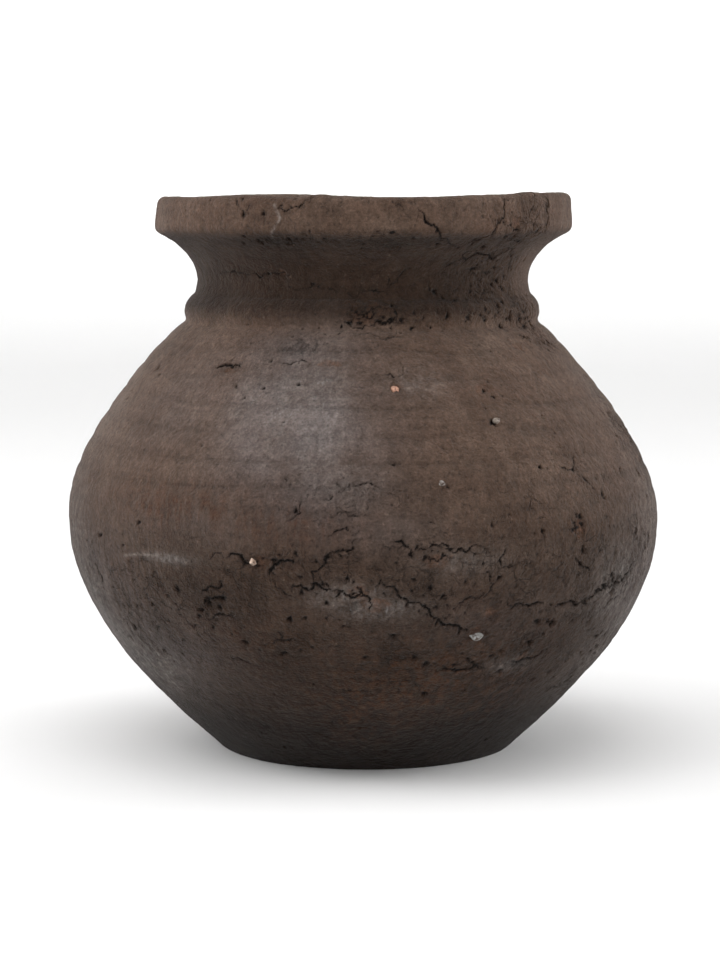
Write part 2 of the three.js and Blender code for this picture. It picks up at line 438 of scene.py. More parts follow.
def roughness_map(grid):
    """How crumbly the clay is at each point, from 0 to 1."""
    broken = 0.5 + 0.9 * layered(grid.base, 20, 21, 2)
    worn = 0.3 * smooth(*WORN_BELOW, grid.height) + 0.3 * smooth(*WORN_ABOVE, grid.height)
    return np.clip(patches(grid, ROUGH, 26, 22) * (0.55 + broken) + worn[:, None] * broken, 0, 1)


def tints(grid, outside):
    """Painted shade and soot clouds all over, and on the outside also painted grey sheen, dust (with
    painted sheen at the sides) and rust.
    """
    marks, height = grid.marks, grid.height[:, None]
    neck = smooth(*NECK_FOOT, height) * smooth(*NECK_TOP, height)
    angle, wide = LESS_SHADED_NECK
    neck = neck * (1 - 0.6 * np.exp(-(angle_gap(grid.angle, angle) / wide) ** 2))
    # painted shade: darker towards the foot, and in a band on the neck under the rim
    marks["soot_and_shade"] += np.interp(height, SHADE_HEIGHTS, SHADE_BY_HEIGHT) + NECK_SHADE * neck
    marks["soot_and_shade"] += SOOT_CLOUDS * smooth(-0.3, 0.9, noise(grid.base, 60, 31))
    if not outside:
        marks["soot_and_shade"] += INSIDE_DARKENING
        return
    marks["painted_sheen"] += patches(grid, PAINTED_SHEEN_PATCHES, 14, 32)
    marks["dust_and_sheen"] += patches(grid, DUST_AND_SHEEN, 12, 33)
    marks["rust"] += patches(grid, RUST, 18, 34)


# ---------------------------------------------------------------- cracks, pits and chips

def radius_at(along):
    """The pot's radius at a distance along the outline."""
    return np.interp(along, ALONG, OUTLINE[:, 0])


OUTSIDE = ALONG <= LIP


def along_height(height):
    """How far along the outline a height on the outside lies; past the top it counts on over the lip."""
    rim_edge = np.interp(HEIGHT - 1.5, OUTLINE[OUTSIDE, 1], ALONG[OUTSIDE])
    if height > HEIGHT - 1.5:
        return rim_edge + height - HEIGHT + 1.5
    return np.interp(height, OUTLINE[OUTSIDE, 1], ALONG[OUTSIDE])


# Cracks on the front: width and depth in millimetres, then points as angle and height
CRACKS = (
    (0.9, 1.4, (-56, 284), (-47, 286), (-39, 285)), (1.3, 2.2, (-39, 285), (-31, 286), (-24, 284)),
    (0.9, 1.6, (-28, 280), (-17, 280), (-14, 277), (-8, 275)),
    (0.7, 1.0, (-8, 278), (2, 276), (8, 275)), (0.8, 1.3, (7, 276), (10, 280), (13, 287), (18, 288)),
    (0.7, 1.0, (20, 283), (23, 275), (28, 270), (29, 262)), (0.9, 1.6, (26, 288), (31, 293)),
    (1.7, 3.0, (31, 293), (38, 296), (52, 298)), (0.9, 1.5, (50, 297), (56, 293), (57, 284)),
    (0.7, 1.0, (14, 332), (13, 326), (14, 321)), (1.6, 2.8, (14, 321), (16, 314), (21, 305), (29, 300)),
    (1.1, 1.6, (40, 330), (38, 314), (34, 305), (31, 302)),
    (1.2, 2.0, (56, 331), (59, 322), (58, 308), (52, 302)), (0.7, 1.0, (6, 327), (9, 324), (10, 320)),
    (0.8, 1.2, (-23, 322), (-17, 322), (-13, 327)), (0.8, 1.3, (-36, 327), (-34, 321), (-32, 317)),
    (0.7, 0.9, (52, 330), (49, 316), (51, 307)), (1.1, 1.8, (-4, 266), (2, 264), (9, 266)),
    (0.9, 1.5, (3, 266), (3, 261), (-2, 260)), (1.0, 1.6, (-4, 257), (4, 258), (9, 261), (13, 258)),
    (1.0, 1.6, (58, 258), (64, 255), (72, 256)), (1.1, 1.8, (54, 250), (57, 244)),
    (0.9, 1.3, (68, 248), (70, 243), (74, 238)), (0.8, 1.1, (-2, 250), (6, 249), (12, 250)),
    (2.0, 2.4, (-40, 232), (-36, 234), (-32, 233)), (0.9, 1.2, (-22, 238), (-17, 237), (-12, 235)),
    (0.8, 1.1, (4, 231), (8, 229), (11, 231)), (0.8, 1.1, (-6, 176), (-3, 172), (4, 171)),
    (0.7, 1.0, (-3, 172), (-5, 168), (-8, 167)), (0.8, 1.2, (-11, 166), (-11, 159), (-14, 152)),
    (0.7, 1.0, (-6, 157), (-3, 160), (1, 158)), (0.8, 1.2, (-8, 148), (-4, 150), (0, 150)),
    (1.3, 2.2, (-9, 121), (-7, 131), (-4, 139), (0, 146)), (0.8, 1.2, (-29, 130), (-25, 133)),
    (1.8, 2.8, (-25, 133), (-22, 134), (-18, 129)), (2.3, 3.4, (-12, 132), (-16, 129), (-17, 125)),
    (1.2, 2.0, (-17, 125), (-15, 118), (-13, 114)), (1.8, 2.4, (-26, 122), (-28, 116), (-31, 113)),
    (1.5, 2.2, (-26, 114), (-28, 110), (-31, 105)), (1.0, 1.6, (-25, 104), (-29, 100), (-31, 97)),
    (1.0, 1.5, (-38, 99), (-36, 95), (-33, 92)), (1.9, 3.0, (-13, 116), (-9, 121), (-5, 118)),
    (1.8, 2.8, (-5, 118), (-2, 113), (1, 106)), (1.2, 1.8, (-20, 84), (-17, 88), (-14, 89), (-12, 85)),
    (0.9, 1.3, (-29, 78), (-26, 74), (-22, 71)), (1.3, 2.0, (5, 144), (8, 141), (9, 137)),
    (1.2, 1.9, (9, 138), (12, 141), (15, 141), (18, 138), (23, 136)),
    (1.0, 1.5, (10, 132), (14, 136), (17, 135)), (1.6, 2.4, (2, 119), (6, 116), (10, 110)),
    (2.4, 3.4, (10, 110), (12, 106), (13, 101)), (2.1, 3.0, (13, 101), (16, 97), (20, 93)),
    (1.1, 1.7, (23, 126), (24, 119), (20, 112), (17, 107)), (1.4, 2.2, (27, 109), (31, 105), (36, 104)),
    (2.1, 3.2, (39, 102), (43, 104), (47, 104)), (1.8, 2.8, (47, 104), (52, 107), (57, 108)),
    (1.9, 3.0, (57, 108), (61, 113), (64, 119)), (1.3, 2.0, (57, 106), (57, 100), (55, 94)),
    (1.1, 1.6, (26, 140), (25, 133), (27, 127), (33, 125)), (1.5, 2.2, (41, 151), (43, 146), (41, 138)),
    (1.4, 2.0, (42, 130), (44, 124), (47, 119)), (2.0, 3.0, (16, 73), (20, 69), (26, 69)),
    (1.3, 1.9, (31, 71), (36, 72), (41, 76)), (1.2, 1.8, (50, 44), (56, 47), (63, 49)),
    (0.8, 1.1, (41, 180), (45, 176), (50, 179)), (0.8, 1.1, (45, 176), (48, 170), (50, 164)),
    (1.4, 2.0, (76, 200), (79, 188), (82, 177)), (1.2, 1.8, (68, 206), (70, 201)),
    (1.6, 2.4, (66, 138), (69, 130), (70, 121)), (1.2, 1.8, (-62, 122), (-60, 112), (-61, 104)),
    (1.2, 1.8, (-70, 150), (-69, 138)), (0.9, 1.3, (2, 66), (8, 64), (13, 60)),
    (0.9, 1.4, (-8, 56), (-3, 58), (2, 55)),
)

# Pits on the front: angle, height, radius and depth
PITS = (
    (57, 108, 3.0, 4.2), (30, 221, 1.3, 1.6), (29, 204, 1.8, 2.2), (-66, 229, 1.4, 1.6),
    (-62, 226, 1.2, 1.4), (-31, 223, 1.0, 1.2), (-15, 225, 1.2, 1.4), (-24, 237, 1.0, 1.0),
    (-45, 148, 1.3, 1.4), (-58, 137, 1.5, 2.0), (63, 137, 1.7, 2.2), (44, 133, 1.8, 2.4),
    (-4, 258, 1.4, 1.8), (-34, 327, 1.2, 1.2), (-30, 304, 1.6, 2.0), (-33, 318, 1.3, 1.5),
    (38, 300, 1.5, 2.0), (24, 275, 1.4, 1.8), (-30, 107, 2.0, 2.6), (-27, 110, 1.8, 2.4),
    (-32, 102, 1.6, 2.0), (-55, 84, 1.5, 1.8), (-14, 100, 1.8, 2.2), (-11, 101, 1.2, 1.8),
    (-24, 85, 1.6, 2.0), (35, 82, 1.5, 2.0), (30, 66, 1.5, 1.8), (69, 190, 1.3, 1.6),
    (-12, 160, 1.4, 1.6), (16, 172, 1.0, 1.2), (12, 118, 1.4, 1.8), (52, 160, 1.2, 1.4),
    (71, 168, 1.6, 2.0), (34, 146, 1.3, 1.6), (-36, 303, 1.2, 1.5),
)

# Flake scars with fresher clay: angle, height, half width and half height in millimetres, depth
CHIPS = (
    (8, 224, 3.6, 3.6, 1.4), (43, 145, 4.5, 6.0, 1.2), (-35, 231, 5.0, 2.0, 1.0),
    (30, 222, 6.0, 3.6, 0.7), (-18, 132, 4.5, 4.5, 1.6), (22, 91, 6.5, 4.2, 1.3),
    (0, 260, 9.0, 4.0, 0.9), (44, 313, 4.5, 4.0, 0.9), (2, 109, 9.0, 5.0, 0.9), (35, 73, 6.0, 3.0, 0.9),
    (-1, 116, 7.0, 4.0, 0.8), (24, 103, 4.0, 3.0, 0.8), (-27, 286, 3.0, 2.0, 0.8),
    (13, 133, 9.0, 4.5, 0.6), (50, 243, 4.0, 3.0, 0.6), (-8, 236, 8.0, 2.5, 0.4),
)


CRACK_WIDTH = 0.68  # the widths above count from edge to edge of the broken lips; the slot is narrower
CRACK_STEP = 1.3
CRACK_JAG = 0.17
STEPS_TO_A_BRANCH = 20
BRANCH_REACH = (2.0, 7.0)
BRANCH_TURN = (0.6, 1.5)
BRANCH_SHARE = 0.6  # of the width and depth of the crack it leaves
PROUD_EDGE = 0.2  # height of the raised edge, as a share of the depth
NARROWEST = 0.5 * COARSE  # the narrowest slot the grid can hold; finer ones are shallower and paler


# Pale scratches on the front: half width in millimetres, then points as angle and height
SCRATCHES = ((0.7, (-50, 128), (-46, 130), (-40, 131)), (0.8, (-24, 324), (-22, 316), (-25, 306)))


def window(grid, along, angle, reach):
    """The cells of a grid within reach of a place, and how far across (round the pot) and up (along the
    outline) each lies from it, in millimetres; None if there aren't any."""
    first, last = np.searchsorted(grid.rows, (along - reach, along + reach))
    if first == last:
        return None
    radius = max(radius_at(along), 1.0)
    count = len(grid.angle)
    half = min(int(reach / radius / (2 * math.pi) * count) + 2, count // 2 - 1)
    middle = round(math.radians(angle) / (2 * math.pi) * count)
    columns = np.arange(middle - half, middle + half + 1)
    across = (columns * (2 * math.pi / count) - math.radians(angle)) * radius
    up = grid.rows[first:last, None] - along
    return np.ix_(np.arange(first, last), columns % count), across[None, :], up


def crack_path(points, draw):
    """Points of a jagged crack through the given angles and heights: angle and distance along."""
    radius = radius_at(along_height(points[0][1]))
    path = np.array([(math.radians(angle) * radius, along_height(height)) for angle, height in points])
    length = np.hypot(*np.diff(path, axis=0).T).max()
    while length > CRACK_STEP:
        step = np.diff(path, axis=0)
        side = np.stack([-step[:, 1], step[:, 0]], axis=1)
        middle = (path[:-1] + path[1:]) / 2 + side * draw.normal(0, CRACK_JAG, len(step))[:, None]
        path = np.insert(path, np.arange(1, len(path)), middle, axis=0)
        length /= 2
    return np.degrees(path[:, 0] / radius), path[:, 1]


def crack_widths(width, count, draw):
    """Half the width of a crack at each step: thin at its ends, and unsteady between them."""
    taper = np.sin(math.pi * np.linspace(0.06, 0.94, count)) ** 0.55
    swing = np.convolve(draw.normal(size=count + 4), np.ones(5) / 5, "valid") * 1.6
    unsteady = np.clip(0.6 - 0.22 * width, 0.15, 0.5)
    half_widths = CRACK_WIDTH * width / 2 * taper
    return half_widths * np.exp(unsteady * swing + 0.2 * draw.normal(size=count)), taper


def distance_to_run(across, up, run):
    """The distance from a short run of a crack, and on which side of it each point lies."""
    length = max(np.hypot(*run), 1e-6)
    ahead = np.clip((across * run[0] + up * run[1]) / length, -length / 2, length / 2)
    side = (up * run[0] - across * run[1]) / length
    return np.hypot(across - ahead * run[0] / length, up - ahead * run[1] / length), side


def open_crack(grid, carve, lift, width, depth, angles, alongs, draw):
    """Presses one crack into the grid: a jagged slot that widens and closes, one edge of it raised."""
    half_widths, taper = crack_widths(width, len(angles) - 1, draw)
    proud = PROUD_EDGE * depth * draw.choice([-1, 1])
    for i, thin in enumerate(np.clip(half_widths / NARROWEST, 0.12, 1)):
        wide = max(NARROWEST, half_widths[i])
        middle = (alongs[i] + alongs[i + 1]) / 2, (angles[i] + angles[i + 1]) / 2
        spot = window(grid, *middle, 5 * wide + 1.5)
        if spot is None:
            continue
        cells, across, up = spot
        turn = math.radians(angles[i + 1] - angles[i]) * radius_at(alongs[i])
        gap, side = distance_to_run(across, up, np.array([turn, alongs[i + 1] - alongs[i]]))
        slot = np.clip(1.15 - gap / wide, 0, 1)
        deep = min(depth, 2.2 * half_widths[i] + 0.3)
        carve[cells] = np.maximum(carve[cells], deep * thin * slot ** 0.8)
        # painted shade in the slot
        grid.marks["crack_shade"][cells] = np.maximum(grid.marks["crack_shade"][cells], thin * slot)
        edge = np.exp(-gap / (2.2 * wide)) * (side * proud > 0) * abs(proud) * taper[i]
        lift[cells] = np.maximum(lift[cells], edge)


def crack_with_branches(grid, carve, lift, width, depth, points, draw):
    """A listed crack, and short thin cracks that leave it at chance places."""
    angles, alongs = crack_path(points, draw)
    open_crack(grid, carve, lift, width, depth, angles, alongs, draw)
    radius = radius_at(alongs[0])
    for _ in range(draw.poisson(len(angles) / STEPS_TO_A_BRANCH)):
        start = draw.integers(len(angles) - 1)
        run = (np.radians(angles[start + 1] - angles[start]) * radius, alongs[start + 1] - alongs[start])
        heading = math.atan2(run[1], run[0]) + draw.choice([-1, 1]) * draw.uniform(*BRANCH_TURN)
        steps = np.arange(0, draw.uniform(*BRANCH_REACH), CRACK_STEP)
        headings = heading + np.cumsum(draw.normal(0, 0.4, len(steps)))
        across = np.cumsum(np.cos(headings)) * CRACK_STEP / radius
        up = np.cumsum(np.sin(headings)) * CRACK_STEP
        side_angles = angles[start] + np.r_[0, np.degrees(across)]
        side_alongs = alongs[start] + np.r_[0, up]
        thinner = BRANCH_SHARE * width, BRANCH_SHARE * depth
        open_crack(grid, carve, lift, *thinner, side_angles, side_alongs, draw)


def scratch(grid, wide, points):
    """Paints one pale scratch."""
    for (angle, height), (end_angle, end_height) in zip(points, points[1:]):
        for share in np.linspace(0, 1, 24):
            along = along_height(height + share * (end_height - height))
            turned = angle + share * (end_angle - angle)
            cells, across, up = window(grid, along, turned, 2.5 * wide)
            shade = np.exp(-(np.hypot(across, up) / wide) ** 2)
            grid.marks["scratch"][cells] = np.maximum(grid.marks["scratch"][cells], shade)


def press_pit(grid, carve, angle, height, radius, depth, draw):
    """A small hollow with a ragged edge, with painted shade inside."""
    spot = window(grid, along_height(height), angle, radius * 2.2)
    if spot is None:
        return
    cells, across, up = spot
    turn, long = draw.uniform(0, math.pi), draw.uniform(1.0, 1.7)
    x = (across * math.cos(turn) + up * math.sin(turn)) / long
    y = (up * math.cos(turn) - across * math.sin(turn)) * long ** 0.5
    around = np.arctan2(y, x)
    ragged = 1 + 0.22 * np.sin(3 * around + turn * 5) + 0.13 * np.sin(5 * around + turn * 9)
    gap = np.hypot(x, y) / (radius * ragged)
    carve[cells] = np.maximum(carve[cells], depth * np.clip(1.2 - gap, 0, 1) ** 0.6)
    shade = np.clip(1.2 - gap, 0, 1) * np.clip(radius / 1.5, 0.3, 0.9)
    grid.marks["crack_shade"][cells] = np.maximum(grid.marks["crack_shade"][cells], shade)


def flake_off(grid, carve, angle, height, wide, tall, depth, draw):
    """A shallow scar with a ragged edge and fresh clay inside."""
    spot = window(grid, along_height(height), angle, max(wide, tall) * 1.6)
    if spot is None:
        return
    cells, across, up = spot
    turn = np.arctan2(up / tall, across / wide)
    start = draw.uniform(0, 6, 3)
    ragged = 1 + sum(0.14 / n ** 0.5 * np.sin((2 * n + 1) * turn + start[n - 1]) for n in (1, 2, 3))
    gap = np.hypot(across / wide, up / tall) / ragged
    inside = np.clip((1 - gap) * 4, 0, 1)
    carve[cells] = np.maximum(carve[cells], depth * inside)
    grid.marks["chip"][cells] = np.maximum(grid.marks["chip"][cells], inside)


# Heights round which chance cracks run; the seams at the belly count twice
CRACK_BANDS = (*SEAM_HEIGHTS[1:6], *SEAM_HEIGHTS[3:6], SEAM_HEIGHTS[-2], COLLAR_FOOT, 306, 90, 60)


def chance_cracks(draw, count):
    """Cracks for the sides and the back, mostly along the level bands of seams, like those in front."""
    made = []
    for _ in range(count):
        angle, height = draw.uniform(BACK_FROM, BACK_TO), draw.choice(CRACK_BANDS) + draw.normal(0, 5)
        height = float(np.clip(height, 30, HEIGHT - 8))
        length = draw.lognormal(2.6, 0.45)
        heading = draw.normal(0, 0.55) + (draw.random() < 0.2) * math.pi / 2
        radius = radius_at(along_height(height))
        points = [(angle, height)]
        for _ in range(3):
            heading += draw.normal(0, 0.45)
            angle += math.degrees(length / 3 * math.cos(heading) / radius)
            height = float(np.clip(height + length / 3 * math.sin(heading), 20, HEIGHT - 2))
            points.append((angle, height))
        width = float(np.clip(draw.lognormal(0.15, 0.35), 0.7, 2.3))
        made.append((width, 1.5 * width, *points))
    return made


# Places where small pits crowd: angle, height, half width in degrees, half height, how many, radius
PIT_CROWDS = (
    (45, 281, 12, 14, 120, 0.75), (46, 261, 18, 3.5, 45, 0.8), (6, 261, 13, 3.5, 34, 0.9),
    (66, 258, 10, 4, 24, 0.9), (3, 254, 16, 3.0, 22, 0.8), (-30, 108, 5, 9, 8, 1.0),
    (-28, 100, 6, 12, 8, 0.8), (20, 70, 9, 4, 30, 1.0), (34, 73, 6, 4, 18, 0.8),
    (14, 137, 9, 4, 26, 0.8), (44, 146, 3, 7, 16, 0.9), (56, 108, 5, 6, 22, 1.1),
    (-2, 116, 8, 8, 34, 0.8), (12, 105, 6, 8, 26, 0.9), (-16, 131, 6, 5, 22, 0.9),
    (2, 306, 26, 3.5, 50, 0.8), (48, 306, 10, 5, 30, 0.9), (44, 316, 10, 6, 22, 0.7),
    (-20, 88, 9, 7, 24, 0.8), (-46, 92, 10, 20, 34, 0.8), (58, 70, 14, 14, 40, 0.8),
    (70, 128, 8, 26, 46, 1.0), (76, 190, 6, 16, 26, 0.9), (20, 119, 10, 12, 30, 0.7),
    (66, 246, 5, 7, 16, 0.9), (-34, 250, 10, 2.5, 12, 0.6), (-4, 168, 7, 10, 12, 0.7),
    (30, 222, 4, 3, 10, 0.7), (110, 281, 14, 12, 60, 0.8), (150, 120, 16, 24, 90, 0.9),
    (205, 90, 20, 24, 90, 0.9), (250, 130, 14, 20, 60, 0.9), (185, 262, 30, 3.5, 60, 0.9),
    (230, 285, 12, 12, 50, 0.8), (120, 70, 16, 16, 50, 0.9), (170, 200, 10, 14, 30, 0.8),
)


def crowded_pits(draw):
    """The pits of the crowds, scattered round their middles."""
    for angle, height, wide, tall, count, size in PIT_CROWDS:
        for _ in range(round(0.7 * count)):
            radius = 0.85 * size * float(np.clip(draw.lognormal(0, 0.4), 0.5, 2.2))
            yield (angle + draw.normal(0, wide / 1.7), height + draw.normal(0, tall / 1.7),
                   radius, radius * draw.uniform(0.5, 1.2))


def chance_pits(draw, count, grid, rough):
    """Small pits all over the outside, most of them where the clay is rough."""
    made = []
    weights = grid.radius
    rows = draw.choice(len(grid.rows), count, p=weights / weights.sum())
    columns = draw.integers(0, len(grid.angle), count)
    keep = draw.random(count) < 0.05 + 0.5 * rough[rows, columns]
    for row, column in zip(rows[keep], columns[keep]):
        radius = float(np.clip(draw.lognormal(-0.5, 0.45), 0.45, 2.2))
        height = grid.height[row]
        if grid.rows[row] < LIP - 1:
            depth = radius * draw.uniform(0.7, 1.5)
            made.append((math.degrees(grid.angle[column]), height, radius, depth))
    return made


# The range of each measure of a chance flake scar, in the order of the list above
CHIP_LIMITS = ((BACK_FROM, BACK_TO), (50, 320), (3, 8), (2, 5), (0.5, 1.3))
CHANCE_CHIPS = 16
CHANCE_CRACKS = 95
PIT_TRIES = 5200  # most of them are dropped, where the clay is sound


def break_surface(grid, rough):
    """All cracks, pits and chips of the outside."""
    draw = np.random.default_rng(SEED + 1)
    carve, lift = np.zeros_like(grid.push), np.zeros_like(grid.push)
    for chip in CHIPS:
        flake_off(grid, carve, *chip, draw)
    for _ in range(CHANCE_CHIPS):
        flake_off(grid, carve, *[draw.uniform(*limits) for limits in CHIP_LIMITS], draw)
    for wide, *points in SCRATCHES:
        scratch(grid, wide, points)
    for width, depth, *points in [*CRACKS, *chance_cracks(draw, CHANCE_CRACKS)]:
        crack_with_branches(grid, carve, lift, width, depth, points, draw)
    for pit in [*PITS, *crowded_pits(draw), *chance_pits(draw, PIT_TRIES, grid, rough)]:
        press_pit(grid, carve, *pit, draw)
    grid.push += lift - carve


# ---------------------------------------------------------------- tool marks and grit

# Depths of the tool marks and height of the crumbs in millimetres
SCRAPE_DEPTH = 0.07
FACET_DEPTH = 0.35
WIPE_DEPTH = 0.045
CRUMB_HEIGHT = 0.5

# Heights on the pot between which each kind of tool mark sets in
SCRAPED_BELOW, SCRAPED_ABOVE = (165, 110), (8, 30)
WIPED_BELOW, WIPED_ABOVE = (262, 250), (120, 160)
TURNED_ABOVE = (262, 272)


def scraped(grid, rough):
    """Wiping marks, scrape marks up the lower wall, and the crumbly texture of rough clay."""
    base, wrapped, height = grid.base, grid.wrapped(), grid.height[:, None]
    lower = smooth(*SCRAPED_BELOW, height) * smooth(*SCRAPED_ABOVE, height)
    strokes = relief(wrapped, SCRAPES_UP)
    facets = layered(wrapped, (26, 26, 60), 43, 2)
    grid.push += lower * (SCRAPE_DEPTH * strokes + FACET_DEPTH * facets)
    wiped = smooth(*WIPED_BELOW, height) * smooth(*WIPED_ABOVE, height)
    grid.push += wiped * WIPE_DEPTH * relief(wrapped, WIPES)
    grid.push += smooth(*TURNED_ABOVE, height) * relief(wrapped, TURNED_LINES)
    crumbs = layered(base, 6.5, 47, 2) - 0.7 * np.abs(noise(base, 3.2, 48))
    grid.push += rough * CRUMB_HEIGHT * crumbs
    grid.marks["rough"] += rough
    grid.push += relief(base, GRITTY)


# Height, width, depth and seed
COLLAR_GROOVES = ((COLLAR_FOOT - 1.5, 1.8, 0.9, 61), (COLLAR_TOP + 1, 2.2, 0.5, 63))

SETTLE = 12  # length over which the outside and the inside come together at the throat
UNDER_HOLLOW = 0.4


def groove(grid, at, width, depth, seed):
    """A level groove, such as the one under the collar, that wanders and comes and goes."""
    wander = 0.8 * noise(grid.wrapped(), (50, 50, 50), seed)
    strength = np.clip(0.7 + 0.7 * noise(grid.wrapped(), (40, 40, 40), seed + 1), 0, 1.3)
    strength = strength * (grid.rows < LIP)[:, None]
    grid.push -= depth * strength * np.exp(-((grid.height[:, None] + wander - at) / width) ** 2)


def shape_outside():
    """Everything that hands, tools and age did to the outside, the rim and the mouth."""
    uneven(outer)
    coil_ridges(outer)
    rough = roughness_map(outer)
    scraped(outer, rough)
    for groove_place in COLLAR_GROOVES:
        groove(outer, *groove_place)
    break_surface(outer, rough)
    tints(outer, True)
    settle = smooth(THROAT, THROAT - SETTLE, outer.rows)[:, None]
    outer.push = outer.push * settle + relief(outer.base, BROAD_LUMPS) * (1 - settle)
    outer.finish()


def shape_inside():
    """The finger strokes inside, and the slightly hollow underside."""
    uneven(inner)
    settle = smooth(THROAT, THROAT + SETTLE, inner.rows)[:, None]
    strokes = relief(inner.wrapped(), FINGER_STROKES)
    inner.push = (inner.push + strokes) * settle + relief(inner.base, BROAD_LUMPS) * (1 - settle)
    tints(inner, False)
    inner.finish()
    under.push += UNDER_HOLLOW + relief(under.base, UNDERSIDE)
    under.marks["soot_and_shade"] += UNDER_DARKENING
    under.finish()


shape_outside()
shape_inside()


# ---------------------------------------------------------------- pieces cut from the grids

def placed(name, data):
    """A new object in the scene."""
    thing = bpy.data.objects.new(name, data)
    bpy.context.scene.collection.objects.link(thing)
    return thing


class Ring:
    """One closed row of points of a piece."""

    def __init__(self, grid, row):
        self.points, self.normals = grid.points[row], grid.normals[row]
        self.marks = {name: grid.marks[name][row] for name in MARKS}


class Tip:
    """The point on the axis that closes a disc."""

    def __init__(self, ring):
        self.points = ring.points.mean(axis=0, keepdims=True)
        self.normals = ring.normals.mean(axis=0, keepdims=True)
        self.marks = {name: values.mean(keepdims=True) for name, values in ring.marks.items()}


def band_corners(low, high):
    """The corners of the faces between two rings with equal or different numbers of points: which ring,
    which column, and how far round."""
    a, b = len(low.points), len(high.points)
    faces = np.arange(max(min(a, b), 1) if min(a, b) > 1 else max(a, b))
    count = len(faces)
    sides = []
    for columns, level, order in ((a, 0, 1), (b, 1, -1)):
        each = columns // count if columns > 1 else 0
        steps = np.arange(each + 1)[::order] if each else np.zeros(1, int)
        column = faces[:, None] * each + steps[None]
        turn = column / columns if columns > 1 else (faces[:, None] + 0.5) / count
        sides.append((np.full_like(column, level), column % columns, turn))
    return [np.concatenate(part, axis=1) for part in zip(*sides)]


# How a piece is unwrapped: the parts a turn may be split into, and the gaps beside and below each part
STRIPS = (1, 2, 3, 4, 6, 8)
STRIP_MARGIN = 0.002
STRIP_FOOT = 0.02


def strip_layout(families):
    """Where each family of bands goes in the piece's unwrapped square: the foot of its first strip, the
    height of a strip and the number of strips, each strip being one part of the turn."""
    shares = {"outer": 0.82, "inner": 0.12, "seam": 0.06}
    used = {family: shares[family] for family in families}
    total, foot, layout = sum(used.values()), 0.0, {}
    for family, (length, turn) in families.items():
        share = used[family] / total
        best = min(STRIPS, key=lambda n: abs(math.log(turn / n / max(length, 1e-6) / (n / share))))
        layout[family] = (foot, share / best, best)
        foot += share
    return layout


def families_sizes(rings, pairs, tall, families):
    """The total height and the longest turn of each family of bands."""
    reach = [np.hypot(*(ring.points[0] - ring.points.mean(axis=0))[:2]) for ring in rings]
    spans = {}
    for (a, b), height, family in zip(pairs, tall, families):
        length, turn = spans.get(family, (0.0, 0.0))
        spans[family] = (length + height, max(turn, 2 * math.pi * max(reach[a], reach[b])))
    return spans


def banded_faces(rings, families, closed):
    """The faces between neighbouring rings: the corners of all of them in a row, the number of corners of
    each, and each corner's place in the unwrapped square."""
    pairs = list(zip(range(len(rings)), [*range(1, len(rings)), 0]))[:len(rings) if closed else -1]
    firsts = np.r_[0, np.cumsum([len(ring.points) for ring in rings])]
    tall = [float(np.linalg.norm(rings[a].points[0] - rings[b].points[0])) for a, b in pairs]
    spans = families_sizes(rings, pairs, tall, families)
    layout = strip_layout(spans)
    corners, counts, spots, done = [], [], [], dict.fromkeys(spans, 0.0)
    for (a, b), height, family in zip(pairs, tall, families):
        level, column, turn = band_corners(rings[a], rings[b])
        corners.append((np.where(level, firsts[b], firsts[a]) + column).ravel())
        counts.append(np.full(len(level), level.shape[1]))
        foot, strip, number = layout[family]
        which = np.floor(turn.mean(axis=1, keepdims=True) * number)
        along = (done[family] + level * height) / spans[family][0]
        across = STRIP_MARGIN + (turn * number - which) * (1 - 2 * STRIP_MARGIN)
        up = foot + strip * (which + STRIP_FOOT + (1 - 2 * STRIP_FOOT) * along)
        spots.append(np.stack([across, up], axis=-1).reshape(-1, 2))
        done[family] += height
    return np.concatenate(corners), np.concatenate(counts), np.concatenate(spots)


def build_piece(name, rings, families, closed):
    """A closed mesh from rings in order, each band between two rings belonging to a family."""
    corners, counts, spots = banded_faces(rings, families, closed)
    points = np.concatenate([ring.points for ring in rings]) * MM
    mesh = bpy.data.meshes.new(name)
    mesh.vertices.add(len(points))
    mesh.vertices.foreach_set("co", points.astype(np.float32).ravel())
    mesh.loops.add(len(corners))
    mesh.loops.foreach_set("vertex_index", corners.astype(np.int32))
    mesh.polygons.add(len(counts))
    mesh.polygons.foreach_set("loop_start", np.r_[0, np.cumsum(counts)[:-1]].astype(np.int32))
    mesh.update(calc_edges=True)
    unwrapped = mesh.uv_layers.new(name="OFBake")
    unwrapped.data.foreach_set("uv", spots.astype(np.float32).ravel())
    for mark in MARKS:
        values = np.concatenate([ring.marks[mark] for ring in rings])
        mesh.attributes.new(mark, "FLOAT", "POINT").data.foreach_set("value", values.astype(np.float32))
    mesh.polygons.foreach_set("use_smooth", np.ones(len(counts), bool))
    mesh.normals_split_custom_set_from_vertices(np.concatenate([ring.normals for ring in rings]))
    return placed(name, mesh)


def cut_rings(grid, first, last):
    """The rows of a grid from first to last, in either direction."""
    step = 1 if last >= first else -1
    return [Ring(grid, row) for row in range(first, last + step, step)]


